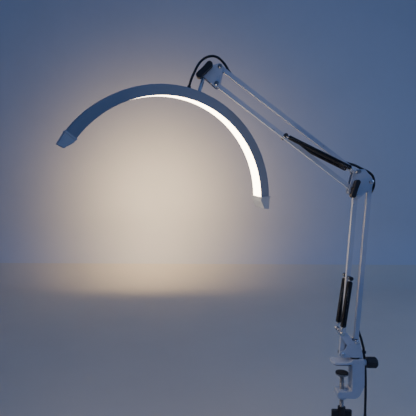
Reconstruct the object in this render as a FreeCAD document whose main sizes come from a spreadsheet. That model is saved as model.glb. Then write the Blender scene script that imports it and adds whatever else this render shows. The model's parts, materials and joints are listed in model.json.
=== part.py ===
import FreeCAD, Part
import math
import os
import Sketcher
from FreeCAD import Placement, Rotation, Vector

# Half-moon work light on a balanced swing arm, held by a table clamp.
# Millimetres. X runs along the arms, Y points away from the near side, Z is up.
# The origin is the middle of the jaw pad's underside, where the table top lies.

doc = FreeCAD.newDocument("ArcLamp")
sheet = doc.addObject("Spreadsheet::Sheet", "dim")
sizes = {
    "barSide": 10,
    "barWall": 1.2,
    "barEnd": 5,
    "lowerBar": 380,
    "upperBar": 405,
    "lowerLean": 4.45,
    "upperRise": 37.8,
    "cheekGap": 16,
    "sheetThick": 2,
    "boltRadius": 3,
    "runClear": 0.05,
    "headRadius": 5.3,
    "springRadius": 6.9,
    "upperSpringRadius": 5.6,
    "springWall": 1.3,
    "springY": 19,
    "pinHalf": 24,
    "capRadius": 4.7,
    "cableRadius": 2.9,
    "padThick": 2.5,
    "tongueTop": 7.5,
    "boltX": 30,
    "blockTop": 13,
    "blockX": 48.5,
    "wallX": 20,
    "throat": 64,
    "clampHalf": 16,
    "tongueHalf": 20,
    "postRadius": 6,
    "screwRadius": 5,
    "screwPitch": 1.5,
    "lockZ": 2,
    "arcRadius": 267,
    "arcHigh": 24.6,
    "arcDeep": 43.2,
    "arcHalfAngle": 69.8,
    "skin": 2,
    "capLong": 34,
    "capProud": 1.2,
    "rimProud": 2.3,
    "rimLong": 4.5,
    "studRadius": 4.4,
    "studLong": 48.8,
    "headLean": 16.75,
    "headTurn": 27.3,
}
for row, (name, value) in enumerate(sizes.items(), 1):
    sheet.set("A%d" % row, name)
    sheet.set("B%d" % row, str(value))
    sheet.setAlias("B%d" % row, name)
doc.recompute()
d = type("Sizes", (), sizes)

# Pivot centres in the plane of the arms, as (x, z)
lean = math.radians(d.lowerLean)
rise = math.radians(d.upperRise)
frontFoot = (-2.0, 24.0)
rearFoot = (32.0, 54.0)
frontTop = (frontFoot[0] + d.lowerBar * math.sin(lean), frontFoot[1] + d.lowerBar * math.cos(lean))
rearTop = (frontTop[0] + 34.0, frontTop[1] + 30.0)
elbowLow = (frontTop[0] - 7.7, frontTop[1] + 13.0)
elbowHigh = (elbowLow[0] + 8.0, elbowLow[1] + 40.0)
headLow = (elbowLow[0] - d.upperBar * math.cos(rise), elbowLow[1] + d.upperBar * math.sin(rise))
headHigh = (headLow[0] + 8.0, headLow[1] + 40.0)
tiltPivot = (headHigh[0] - 36.2, headHigh[1] - 13.0)
springFoot = (frontFoot[0] - 4.0, frontFoot[1] + 53.0)
lowerPinAt = 184.0
upperPinAt = 202.0
lowerPin = (frontFoot[0] + lowerPinAt * math.sin(lean), frontFoot[1] + lowerPinAt * math.cos(lean))
upperPin = (elbowLow[0] - upperPinAt * math.cos(rise), elbowLow[1] + upperPinAt * math.sin(rise))
halfGap = d.cheekGap / 2
cheekOut = halfGap + d.sheetThick
barHalf = d.barSide / 2

alongX = Rotation(Vector(0, 1, 0), 90)
alongY = Rotation(Vector(1, 0, 0), -90)
alongZ = Rotation()


def bind(thing, prop, value):
    """Set a property to a number, or tie it to a formula of the sheet."""
    if isinstance(value, str):
        thing.setExpression(prop, value)
    else:
        setattr(thing, prop, value)


def place(thing, at, turn=alongZ):
    thing.Placement = Placement(Vector(*at), turn)
    return thing


def rod(label, radius, height, at, turn=alongZ):
    made = doc.addObject("Part::Cylinder", label)
    bind(made, "Radius", radius)
    bind(made, "Height", height)
    return place(made, at, turn)


def taper(label, low, high, height, at, turn=alongZ):
    made = doc.addObject("Part::Cone", label)
    bind(made, "Radius1", low)
    bind(made, "Radius2", high)
    bind(made, "Height", height)
    return place(made, at, turn)


def block(label, low, high, turn=alongZ):
    made = doc.addObject("Part::Box", label)
    made.Length = high[0] - low[0]
    made.Width = high[1] - low[1]
    made.Height = high[2] - low[2]
    return place(made, low, turn)


def fuse(label, shapes):
    made = doc.addObject("Part::MultiFuse", label)
    made.Shapes = shapes
    made.Refine = True
    return made


def cut(label, base, tools):
    made = doc.addObject("Part::Cut", label)
    made.Base = base
    made.Tool = tools[0] if len(tools) == 1 else fuse(label + "Tools", tools)
    made.Refine = True
    return made


def group(label, shapes):
    made = doc.addObject("Part::Compound", label)
    made.Links = shapes
    return made


def soften(label, base, radius, wanted=lambda edge: True):
    """Round the edges of a shape that the rule picks."""
    doc.recompute()
    made = doc.addObject("Part::Fillet", label)
    made.Base = base
    picked = [n for n, edge in enumerate(base.Shape.Edges, 1) if wanted(edge)]
    made.Edges = [(n, radius, radius) for n in picked]
    return made


def originPlane(owner, role):
    return [part for part in owner.Origin.OriginFeatures if part.Role == role][0]


def newSketch(owner, role, label):
    made = owner.newObject("Sketcher::SketchObject", label)
    made.AttachmentSupport = [(originPlane(owner, role), "")]
    made.MapMode = "FlatFace"
    return made


def roundedLoop(corners):
    """Lines and arcs through corners given as (x, y, radius)."""
    count = len(corners)
    ends = []
    arcs = []
    for n, (x, y, radius) in enumerate(corners):
        here = Vector(x, y, 0)
        before = Vector(*corners[n - 1][:2], 0) - here
        after = Vector(*corners[(n + 1) % count][:2], 0) - here
        before.normalize()
        after.normalize()
        half = before.getAngle(after) / 2
        if radius <= 0:
            ends.append((here, here))
            arcs.append(None)
            continue
        back = radius / math.tan(half)
        middle = (before + after).normalize() * (radius / math.sin(half))
        bow = here + middle - (before + after).normalize() * radius
        ends.append((here + before * back, here + after * back))
        arcs.append(Part.Arc(ends[-1][0], bow, ends[-1][1]))
    shapes = []
    for n in range(count):
        if arcs[n]:
            shapes.append(arcs[n])
        start = ends[n][1]
        stop = ends[(n + 1) % count][0]
        if (stop - start).Length > 1e-6:
            shapes.append(Part.LineSegment(start, stop))
    return shapes


def addLoop(sketch, corners):
    for shape in roundedLoop(corners):
        sketch.addGeometry(shape, False)


def addCircle(sketch, x, y, formula):
    made = sketch.addGeometry(Part.Circle(Vector(x, y, 0), Vector(0, 0, 1), 1.0), False)
    spot = sketch.addConstraint(Sketcher.Constraint("Radius", made, 1.0))
    sketch.setExpression("Constraints[%d]" % spot, formula)


def addSquare(sketch, formula, side):
    """A square about the origin, its side tied to the sheet."""
    half = side / 2
    spots = [(-half, -half), (half, -half), (half, half), (-half, half)]
    edges = []
    for n in range(4):
        start = Vector(*spots[n], 0)
        stop = Vector(*spots[(n + 1) % 4], 0)
        edges.append(sketch.addGeometry(Part.LineSegment(start, stop), False))
    for n in range(4):
        sketch.addConstraint(Sketcher.Constraint("Coincident", edges[n], 2, edges[(n + 1) % 4], 1))
    for n, kind in enumerate(("Horizontal", "Vertical", "Horizontal", "Vertical")):
        sketch.addConstraint(Sketcher.Constraint(kind, edges[n]))
    sketch.addConstraint(Sketcher.Constraint("Symmetric", edges[0], 1, edges[1], 2, -1, 1))
    wide = sketch.addConstraint(Sketcher.Constraint("DistanceX", edges[0], 1, edges[0], 2, side))
    tall = sketch.addConstraint(Sketcher.Constraint("DistanceY", edges[1], 1, edges[1], 2, side))
    sketch.setExpression("Constraints[%d]" % wide, formula)
    sketch.setExpression("Constraints[%d]" % tall, formula)


def pad(owner, sketch, length, label, middle=False):
    made = owner.newObject("PartDesign::Pad", label)
    made.Profile = sketch
    bind(made, "Length", length)
    if middle:
        made.SideType = "Symmetric"
    sketch.Visibility = False
    return made


def through(owner, sketch, label):
    made = owner.newObject("PartDesign::Pocket", label)
    made.Profile = sketch
    made.Type = "ThroughAll"
    made.SideType = "Symmetric"
    sketch.Visibility = False
    return made


def plate(label, corners, holes, thick, y):
    """A flat cheek in the plane of the arms, its far face at y."""
    owner = doc.addObject("PartDesign::Body", label)
    outline = newSketch(owner, "XZ_Plane", label + "Outline")
    addLoop(outline, corners)
    for x, z, formula in holes:
        addCircle(outline, x, z, formula)
    pad(owner, outline, thick, label + "Pad")
    owner.Placement = Placement(Vector(0, y, 0), Rotation())
    return owner


nodes = {}


def keep(label, made):
    """Name a finished sub-part, which is also its file's name."""
    made.Label = label
    nodes[label] = made
    return made


# Clamp frame: a C seen from the near side, with a wider rounded tongue on top
clampC = doc.addObject("PartDesign::Body", "clampC")
clampSide = newSketch(clampC, "XZ_Plane", "clampSide")
lowTop = -d.throat
addLoop(clampSide, [
    (d.blockX, d.blockTop, 3),
    (23, d.blockTop, 7),
    (14, d.tongueTop, 12),
    (-12, d.tongueTop, 0),
    (-12, d.padThick, 0),
    (d.wallX, d.padThick, 4),
    (d.wallX, lowTop, 8),
    (-14, lowTop, 3),
    (-14, lowTop - 13, 5),
    (34, lowTop - 16, 18),
    (d.blockX, lowTop + 14, 22),
])
pad(clampC, clampSide, "2 * dim.clampHalf", "clampWidth", middle=True)
tongue = doc.addObject("PartDesign::Body", "tongue")
tongueShape = newSketch(tongue, "XY_Plane", "tongueShape")
addLoop(tongueShape, [
    (-26, -d.tongueHalf, 13),
    (8, -d.tongueHalf, 10),
    (22, -d.clampHalf, 6),
    (22, d.clampHalf, 6),
    (8, d.tongueHalf, 10),
    (-26, d.tongueHalf, 13),
])
pad(tongue, tongueShape, "dim.tongueTop - dim.padThick", "tongueThick")
tongue.Placement.Base.z = d.padThick
tongueTopEdge = soften("tongueSoft", tongue, 1.2, lambda edge: edge.BoundBox.ZMin > d.tongueTop - 0.01)
clampFrame = fuse("clampFused", [
    clampC,
    tongueTopEdge,
    rod("screwBoss", 11, 22, (0, 0, lowTop - 20)),
    rod("lockBoss", 7, 8, (d.blockX, 0, d.lockZ), alongX),
])
keep("clamp_frame", cut("clampCut", clampFrame, [
    rod("postBore", "dim.postRadius + 2", 40, (d.boltX, 0, d.blockTop - 38)),
    rod("lockBore", "3 + dim.runClear", 32, (d.boltX, 0, d.lockZ), alongX),
    rod("screwBore", "dim.screwRadius + dim.runClear", 40, (0, 0, lowTop - 30)),
]))

# Rubber pad under the tongue
jawPad = doc.addObject("PartDesign::Body", "jawPad")
jawShape = newSketch(jawPad, "XY_Plane", "jawShape")
addLoop(jawShape, [(-23, -17.5, 11), (17, -17.5, 3), (17, 17.5, 3), (-23, 17.5, 11)])
pad(jawPad, jawShape, "dim.padThick", "jawThick")
keep("jaw_pad", jawPad)

# Bush that the arm's post turns in, with a flange the bracket rests on
bush = fuse("bushFused", [
    rod("bushTube", "dim.postRadius + 2", 32, (d.boltX, 0, d.blockTop - 32)),
    rod("bushFlange", 11, 2, (d.boltX, 0, d.blockTop)),
])
keep("post_bush", cut("bushCut", bush, [
    rod("bushBore", "dim.postRadius + dim.runClear", 50, (d.boltX, 0, d.blockTop - 40)),
    rod("bushSide", "3 + dim.runClear", 20, (d.boltX, 0, d.lockZ), alongX),
]))


# Clamp screw, its pressure plate and its wing handle
def wingHandle(label, half, thick, high, hub, hubHigh, bore):
    """An oblong moulded wing on a round hub; it stands along +Z from zero."""
    wing = doc.addObject("PartDesign::Body", label + "Wing")
    shape = newSketch(wing, "XY_Plane", label + "WingShape")
    side = thick / 2
    waist = side * 0.8
    addLoop(shape, [
        (-half, -side, side * 0.9), (0, -waist, 60), (half, -side, side * 0.9),
        (half, side, side * 0.9), (0, waist, 60), (-half, side, side * 0.9),
    ])
    pad(wing, shape, high, label + "WingPad")
    wing.Placement.Base.z = hubHigh
    top = hubHigh + high - 0.01
    soft = soften(label + "WingSoft", wing, 1.6, lambda edge: edge.BoundBox.ZMin > top)
    joined = fuse(label + "Joined", [soft, rod(label + "Hub", hub, hubHigh + high * 0.5, (0, 0, 0))])
    if bore <= 0:
        return joined
    return cut(label + "Bored", joined, [rod(label + "Bore", bore, hubHigh + high * 0.6, (0, 0, -1))])


plateTop = -22.0
pressure = fuse("pressureFused", [
    rod("pressureDisc", 15, 3, (0, 0, plateTop - 5)),
    taper("pressureNeck", 9, 12, 4, (0, 0, plateTop - 9)),
])
keep("pressure_plate", cut("pressureCut", pressure, [
    rod("pressureSocket", 5 + d.runClear, 5, (0, 0, plateTop - 9)),
]))
keep("pressure_rubber", rod("pressureRubber", 14.5, 2, (0, 0, plateTop - 2)))
screwTop = plateTop - 4.3
screwLong = 92.0
screwShank = rod("screwShank", "dim.screwRadius - 0.6", screwLong, (0, 0, screwTop - screwLong))
crest = [rod("screwTip", "dim.screwRadius", 4, (0, 0, screwTop - 4))]
turns = 26
for n in range(turns):
    z = screwTop - 8 - 2.8 * n
    crest.append(taper("crestLow%d" % n, d.screwRadius - 0.6, d.screwRadius, 0.7, (0, 0, z)))
    crest.append(taper("crestHigh%d" % n, d.screwRadius, d.screwRadius - 0.6, 0.7, (0, 0, z + 0.7)))
keep("clamp_screw", fuse("screwFused", [screwShank] + crest))
screwHandle = wingHandle("handle", 24, 12, 20, 9, 8, d.screwRadius - 0.6)
screwHandle.Placement = Placement(Vector(0, 0, screwTop - screwLong + 12), Rotation(Vector(1, 0, 0), 180))
keep("clamp_handle", screwHandle)

# Ribbed side knob whose screw holds the post
lockCore = taper("lockCore", 12.4, 12.9, 5, (0, 0, 0))
lockBody = rod("lockBody", 12.9, 16, (0, 0, 5))
lockCrown = taper("lockCrown", 12.9, 9.5, 4, (0, 0, 21))
lockBlank = fuse("lockBlank", [lockCore, lockBody, lockCrown])
flutes = []
fluteCount = 12
for n in range(fluteCount):
    angle = 2 * math.pi * n / fluteCount
    flutes.append(rod("flute%d" % n, 1.6, 30, (13.7 * math.cos(angle), 13.7 * math.sin(angle), -2)))
lockKnob = fuse("lockJoined", [
    cut("lockFluted", lockBlank, flutes),
    rod("lockShank", 3, 20.8, (0, 0, -20.8)),
])
lockKnob.Placement = Placement(Vector(57.7, 0, d.lockZ), alongX)
keep("lock_knob", lockKnob)

# Base bracket: two cheeks joined by a floor, with horns folded inwards
floorZ = 17.0
fx, fz = frontFoot
rx, rz = rearFoot
cheekCorners = [
    (fx - 6.5, fz - 7, 6.2),
    (46, floorZ, 2),
    (46, floorZ + 6, 6),
    (40, fz + 25, 8),
    (rx + 1, rz + 6.5, 6),
    (fx + 11, fz + 22, 3),
    (fx + 5.5, fz + 9, 12),
    (fx - 6.5, fz + 7, 6.2),
]
footHoles = [(fx, fz, "dim.boltRadius + 0.02"), (rx, rz, "dim.boltRadius + 0.02")]
farCheek = plate("farCheek", cheekCorners, footHoles, "dim.sheetThick", cheekOut)
nearCheek = plate("nearCheek", cheekCorners, footHoles, "dim.sheetThick", -halfGap)
floor = block("bracketFloor", (8, -cheekOut, floorZ), (45, cheekOut, floorZ + 2.5))
post = fuse("postFused", [
    rod("postShank", "dim.postRadius", 40, (d.boltX, 0, floorZ - 38)),
    rod("postCollar", 10, 2, (d.boltX, 0, floorZ - 2)),
])
bracketShell = cut("bracketCut", fuse("bracketFused", [farCheek, nearCheek, floor]), [
    rod("postSeat", "dim.postRadius + 0.02", 10, (d.boltX, 0, floorZ - 2)),
])
keep("base_post", post)

# Horns carry the lower springs' anchor pin
foldAngle = math.atan2(rz + 1 - (fz + 21), rx - 2 - (fx + 9))
foldDegrees = 3.8


def horn(label, side):
    corners = [
        (fx + 10.2, fz + 22.3, 1),
        (rx - 6.0, rz - 1.4, 1),
        (fx + 12, fz + 50, 2),
        (springFoot[0] + 4.5, springFoot[1] + 5, 4),
        (springFoot[0] - 5.5, springFoot[1] + 1, 4),
        (springFoot[0] - 3.5, springFoot[1] - 6, 3),
    ]
    made = plate(label, corners, [(springFoot[0], springFoot[1], "2.7")], "dim.sheetThick", 0)
    hinge = Vector(fx + 10.2, side, fz + 22.3)
    axis = Vector(math.cos(foldAngle), 0, math.sin(foldAngle))
    lift = cheekOut if side > 0 else -halfGap
    turned = Rotation(axis, -foldDegrees if side < 0 else foldDegrees)
    start = Placement(Vector(0, lift, 0), Rotation())
    fold = Placement(hinge - turned.multVec(hinge), turned)
    made.Placement = fold.multiply(start)
    return made


# Hardware shared by every pivot
def pivotBolt(label, centre):
    """A domed screw on the near side, with its nut on the far side."""
    x, z = centre
    shank = rod(label + "Shank", "dim.boltRadius", 2 * cheekOut + 5.5, (x, -cheekOut, z), alongY)
    rim = rod(label + "Rim", "dim.headRadius", 1.2, (x, -cheekOut - 1.2, z), alongY)
    dome = taper(label + "Dome", 3.2, d.headRadius - 0.15, 1.8, (x, -cheekOut - 3.0, z), alongY)
    socket = rod(label + "Socket", 1.6, 2.2, (x, -cheekOut - 3.4, z), alongY)
    return cut(label + "Cut", fuse(label + "Fused", [shank, rim, dome]), [socket])


def hexNut(label, centre, at, bore, across=5.2, thick=4.5):
    x, z = centre
    blank = doc.addObject("Part::Prism", label + "Blank")
    blank.Polygon = 6
    blank.Circumradius = across
    blank.Height = thick
    place(blank, (x, at, z), alongY)
    return cut(label + "Nut", blank, [rod(label + "Thread", bore, thick + 2, (x, at - 1, z), alongY)])


def screwSet(label, centre):
    """A pivot's screw and its nut."""
    return [pivotBolt(label, centre), hexNut(label, centre, cheekOut, d.boltRadius + 0.02)]


def clampBolt(label, centre):
    """A plain bolt for a wing knob, with a wide head on the far side."""
    x, z = centre
    shank = rod(label + "Shank", "dim.boltRadius", 2 * cheekOut + 12, (x, -cheekOut - 12, z), alongY)
    head = rod(label + "Head", 6, 3.5, (x, cheekOut, z), alongY)
    return fuse(label, [shank, head])


def spacer(label, centre, low, high):
    x, z = centre
    outer = rod(label + "Outer", 5.5, high - low, (x, low, z), alongY)
    inner = rod(label + "Inner", "dim.boltRadius + 0.03", high - low + 2, (x, low - 1, z), alongY)
    return cut(label + "Ring", outer, [inner])


def spacers(label, centres):
    rings = []
    gap = 0.06
    for n, centre in enumerate(centres):
        rings.append(spacer("%s%dNear" % (label, n), centre, -halfGap, -barHalf - gap))
        rings.append(spacer("%s%dFar" % (label, n), centre, barHalf + gap, halfGap))
    return group(label, rings)


def springPin(label, centre, radius):
    x, z = centre
    shaft = rod(label + "Shaft", radius, "2 * dim.pinHalf", (x, -d.pinHalf, z), alongY)
    parts = [shaft]
    for side, at in (("Near", -d.pinHalf - 3.2), ("Far", d.pinHalf - 0.8)):
        parts.append(rod(label + side + "Cap", "dim.capRadius", 4, (x, at, z), alongY))
    return fuse(label, parts)


keep("base_bracket", fuse("bracketWhole", [
    bracketShell, horn("nearHorn", -cheekOut), horn("farHorn", cheekOut),
]))
keep("base_bolts", group("baseBolts", screwSet("footFront", frontFoot) + screwSet("footRear", rearFoot)))
keep("base_spacers", spacers("baseSpacers", [frontFoot, rearFoot]))
stubFoot = 5.95
stubs = []
for side, low, cap in (("Near", -d.pinHalf, -d.pinHalf - 2.2), ("Far", stubFoot, d.pinHalf - 0.8)):
    stub = rod("stub" + side, 2.5, d.pinHalf - stubFoot, (springFoot[0], low, springFoot[1]), alongY)
    end = rod("stubEnd" + side, "dim.capRadius", 3, (springFoot[0], cap, springFoot[1]), alongY)
    stubs.append(fuse("stubPin" + side, [stub, end]))
keep("spring_anchor", group("springAnchor", stubs))


# Square tube bars
def bar(label, length, pivots, slots=()):
    """A square tube standing along its own Z, with cross holes and cable slots."""
    owner = doc.addObject("PartDesign::Body", label)
    section = newSketch(owner, "XY_Plane", label + "Section")
    addSquare(section, "dim.barSide", d.barSide)
    addSquare(section, "dim.barSide - 2 * dim.barWall", d.barSide - 2 * d.barWall)
    pad(owner, section, "dim.%s + 2 * dim.barEnd" % length, label + "Pad")
    drill = newSketch(owner, "XZ_Plane", label + "Drill")
    for z, formula in pivots:
        addCircle(drill, 0, z, formula)
    through(owner, drill, label + "Holes")
    if not slots:
        return owner
    tools = []
    for n, (side, low, high) in enumerate(slots):
        x = side * barHalf
        tools.append(block("%sSlot%d" % (label, n), (x - 2, -3.4, low), (x + 2, 3.4, high)))
    return cut(label + "Slotted", owner, tools)


def standBar(made, foot, turnDegrees):
    turn = Rotation(Vector(0, 1, 0), turnDegrees)
    start = Vector(foot[0], 0, foot[1]) + turn.multVec(Vector(0, 0, -d.barEnd))
    made.Placement = Placement(start, turn)
    return made


runHole = "dim.boltRadius + dim.runClear"
pinHole = "dim.boltRadius + 0.02"
ends = d.barEnd
keep("lower_front_bar", standBar(bar("lowerFront", "lowerBar", [
    (ends, runHole), (ends + lowerPinAt, pinHole), (ends + d.lowerBar, runHole),
]), frontFoot, d.lowerLean))
keep("lower_rear_bar", standBar(bar("lowerRear", "lowerBar", [
    (ends, runHole), (ends + d.lowerBar, runHole),
], [(1, ends + 10, ends + 40), (1, ends + d.lowerBar - 34, ends + d.lowerBar - 10)]), rearFoot, d.lowerLean))
keep("upper_bottom_bar", standBar(bar("upperBottom", "upperBar", [
    (ends, runHole), (ends + upperPinAt, pinHole), (ends + d.upperBar, runHole),
]), elbowLow, d.upperRise - 90))
keep("upper_top_bar", standBar(bar("upperTop", "upperBar", [
    (ends, runHole), (ends + d.upperBar, runHole),
], [(1, ends + 12, ends + 44), (1, ends + d.upperBar - 42, ends + d.upperBar - 8)]), elbowHigh, d.upperRise - 90))
keep("lower_spring_pin", springPin("lowerSpringPin", lowerPin, 3))
keep("upper_spring_pin", springPin("upperSpringPin", upperPin, 3))


# Balance springs, plain closed sleeves with a hook ring at each end
def spring(label, start, stop, y, startHook, stopHook, radius):
    run = Vector(stop[0] - start[0], 0, stop[1] - start[1])
    length = run.Length
    turn = Rotation(Vector(0, 0, 1), run)
    low = startHook
    high = length - stopHook
    sleeve = cut(label + "Sleeve", rod(label + "Outer", "dim." + radius, high - low, (0, 0, low)), [
        rod(label + "Inner", "dim.%s - dim.springWall" % radius, high - low - 2, (0, 0, low + 1)),
    ])
    pieces = [sleeve]
    for end, at, rodLow, rodLong in (("Start", 0, 4.4, low - 4.4), ("Stop", length, high, stopHook - 4.4)):
        ring = doc.addObject("Part::Torus", label + end + "Ring")
        ring.Radius1 = 4.4
        ring.Radius2 = 0.8
        place(ring, (0, 0, at), alongY)
        pieces.append(ring)
        pieces.append(rod(label + end + "Rod", 0.8, rodLong, (0, 0, rodLow)))
    made = fuse(label, pieces)
    made.Placement = Placement(Vector(start[0], y, start[1]), turn)
    return made


for side, y in (("near", -d.springY), ("far", d.springY)):
    keep("lower_spring_" + side, spring("lowerSpring" + side, springFoot, lowerPin, y, 15, 7, "springRadius"))
    keep("upper_spring_" + side,
         spring("upperSpring" + side, elbowHigh, upperPin, y, 18, 7, "upperSpringRadius"))

# Elbow: two five-cornered plates with the four arm pivots between them
ex, ez = elbowHigh
tx, tz = rearTop
bx, bz = frontTop
elbowCorners = [
    (ex - 6.5, ez + 6.5, 4),
    (ex + 19, ez + 6, 5),
    (tx - 4, tz + 16, 6),
    (tx + 7, tz + 1, 6),
    (tx + 1, tz - 13, 5),
    (bx + 5, bz - 11, 5),
    (bx - 20, bz + 4, 5),
]
elbowHoles = [(spot[0], spot[1], "dim.boltRadius + 0.02") for spot in (frontTop, rearTop, elbowLow, elbowHigh)]
keep("elbow_plate_near", plate("elbowNear", elbowCorners, elbowHoles, "dim.sheetThick", -halfGap))
keep("elbow_plate_far", plate("elbowFar", elbowCorners, elbowHoles, "dim.sheetThick", cheekOut))
elbowScrews = screwSet("elbowFront", frontTop) + screwSet("elbowRear", rearTop)
keep("elbow_bolts", group("elbowBolts", elbowScrews + [clampBolt("elbowClampBolt", elbowLow)]))
keep("elbow_spacers", spacers("elbowSpacers", [frontTop, rearTop, elbowLow, elbowHigh]))
keep("elbow_spring_pin", springPin("elbowSpringPin", elbowHigh, 3))


def wingKnob(label, centre, half, thick, high, hubHigh, turnDegrees):
    made = wingHandle(label, half, thick, high, 6.2, hubHigh, d.boltRadius + d.runClear)
    out = Rotation(Vector(1, 0, 0), 90)
    turn = Rotation(Vector(0, 1, 0), turnDegrees).multiply(out)
    made.Placement = Placement(Vector(centre[0], -cheekOut - 0.3, centre[1]), turn)
    return made


keep("elbow_knob", wingKnob("elbowKnob", elbowLow, 21.5, 12, 16, 5, -72))

# Head bracket plates, level with the elbow through the upper linkage
hx, hz = headHigh
lx, lz = headLow
px, pz = tiltPivot
headCorners = [
    (hx + 2, hz + 7.5, 7),
    (hx + 7.5, hz - 6, 7),
    (lx + 8, lz - 6, 6),
    (lx - 1.5, lz - 10, 4),
    (px - 9.5, pz - 5, 8),
    (px + 6, pz + 12, 8),
]
headHoles = [(spot[0], spot[1], "dim.boltRadius + 0.02") for spot in (headHigh, headLow, tiltPivot)]
keep("head_plate_near", plate("headNear", headCorners, headHoles, "dim.sheetThick", -halfGap))
keep("head_plate_far", plate("headFar", headCorners, headHoles, "dim.sheetThick", cheekOut))
headScrews = screwSet("headTop", headHigh) + screwSet("headBottom", headLow)
keep("head_bolts", group("headBolts", headScrews + [clampBolt("headClampBolt", tiltPivot)]))
keep("head_spacers", spacers("headSpacers", [headHigh, headLow, tiltPivot]))
keep("head_knob", wingKnob("headKnob", tiltPivot, 24, 16, 16, 5, -45))

# Tilting stud: an eye between the head plates and a round stem to the arc.
# Its own frame has Z along the stem, upwards, and X along the arc.
headTurn = Rotation(Vector(0, 1, 0), d.headLean).multiply(Rotation(Vector(0, 0, 1), d.headTurn))
stemTurn = Rotation(Vector(0, 1, 0), d.headLean)
pivotPoint = Vector(px, 0, pz)
studLow = -d.studLong - 8.5
eye = rod("studEye", 8.5, "dim.barSide", (0, -barHalf, 0), alongY)
neck = taper("studNeck", d.studRadius + 0.6, 6.5, 9, (0, 0, -15))
stem = rod("studStem", "dim.studRadius", -studLow, (0, 0, studLow))
stud = cut("studCut", fuse("studFused", [eye, neck, stem]), [
    rod("studHole", runHole, 20, (0, -10, 0), alongY),
])
stud.Placement = Placement(pivotPoint, stemTurn)
keep("head_stud", stud)
studNut = cut("studNutCut", doc.addObject("Part::Prism", "studNutBlank"), [
    rod("studNutBore", "dim.studRadius + 0.02", 8, (0, 0, -1)),
])
doc.getObject("studNutBlank").Circumradius = 7.5
doc.getObject("studNutBlank").Height = 4
studNut.Placement = Placement(pivotPoint + stemTurn.multVec(Vector(0, 0, -d.studLong - 7.0)), stemTurn)
keep("stud_nut", studNut)

# Arc profile: the section is drawn at the crown and swept both ways
arcIn = d.arcRadius - d.arcHigh / 2
arcOut = d.arcRadius + d.arcHigh / 2
halfDeep = d.arcDeep / 2
arcCentre = pivotPoint + headTurn.multVec(Vector(0, 0, -d.studLong - arcOut))
crown = FreeCAD.Matrix(0, 1, 0, 0, 0, 0, 1, 0, 1, 0, 0, 0, 0, 0, 0, 1)
arcPlace = Placement(arcCentre, headTurn.multiply(Placement(crown).Rotation))


def swept(label, loops, halfAngle):
    """Turn a section, given as (radius, depth) corners, about the arc's axis."""
    owner = doc.addObject("PartDesign::Body", label)
    section = newSketch(owner, "XZ_Plane", label + "Section")
    for corners in loops:
        addLoop(section, corners)
    turned = owner.newObject("PartDesign::Revolution", label + "Turn")
    turned.Profile = section
    turned.ReferenceAxis = (section, ["V_Axis"])
    turned.Midplane = True
    bind(turned, "Angle", halfAngle)
    section.Visibility = False
    owner.Placement = arcPlace
    return owner


shelf = arcOut - 11.0
profile = swept("arcProfile", [
    [
        (arcOut, -halfDeep, 3), (arcOut, halfDeep, 3), (arcIn, halfDeep, 0.6),
        (arcIn, halfDeep - d.skin, 0), (shelf - 1.5, halfDeep - d.skin, 0),
        (shelf - 1.5, -halfDeep + d.skin, 0), (arcIn, -halfDeep + d.skin, 0), (arcIn, -halfDeep, 0.6),
    ],
    [
        (arcOut - d.skin, -halfDeep + d.skin, 1), (shelf, -halfDeep + d.skin, 1),
        (shelf, halfDeep - d.skin, 1), (arcOut - d.skin, halfDeep - d.skin, 1),
    ],
], "2 * dim.arcHalfAngle")
studBore = rod("profileBore", "dim.studRadius + dim.runClear", 12, (0, 0, -d.studLong - 8))
studBore.Placement = Placement(pivotPoint + stemTurn.multVec(Vector(0, 0, -d.studLong - 8)), stemTurn)
cableAngle = math.radians(-5.6)
glandOut = Vector(math.sin(cableAngle), 0, math.cos(cableAngle))
glandTurn = headTurn.multiply(Rotation(Vector(0, 0, 1), glandOut))
glandFoot = arcCentre + headTurn.multVec(glandOut * (arcOut - 8))
cableBore = rod("profileCableBore", 3.8, 12, tuple(glandFoot), glandTurn)
keep("arc_profile", cut("arcProfileCut", profile, [studBore, cableBore]))

innerDeep = halfDeep - d.skin - 0.15
keep("arc_diffuser", swept("arcDiffuser", [[
    (arcIn + 0.9, -innerDeep, 0.5), (arcIn + 2.9, -innerDeep, 0), (arcIn + 2.9, innerDeep, 0),
    (arcIn + 0.9, innerDeep, 0.5), (arcIn + 0.3, innerDeep * 0.5, 20), (arcIn + 0.3, -innerDeep * 0.5, 20),
]], "2 * dim.arcHalfAngle - 0.1"))
ledTop = shelf - 1.5
ledBand = swept("ledStrip", [[
    (ledTop - 0.05, -9, 0), (ledTop - 0.05, 9, 0), (ledTop - 1.25, 9, 0), (ledTop - 1.25, -9, 0),
]], "2 * dim.arcHalfAngle - 3")
chipCount = 46
chips = []
for n in range(chipCount):
    angle = math.radians(-d.arcHalfAngle + 3) + math.radians(2 * d.arcHalfAngle - 6) * n / (chipCount - 1)
    turn = headTurn.multiply(Rotation(Vector(0, 1, 0), math.degrees(angle)))
    spot = arcCentre + turn.multVec(Vector(-1.75, -2.5, ledTop - 2.05))
    chip = doc.addObject("Part::Box", "chip%d" % n)
    chip.Length = 3.5
    chip.Width = 5.0
    chip.Height = 0.75
    chip.Placement = Placement(spot, turn)
    chips.append(chip)
keep("led_strip", group("ledParts", [ledBand] + chips))


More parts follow.
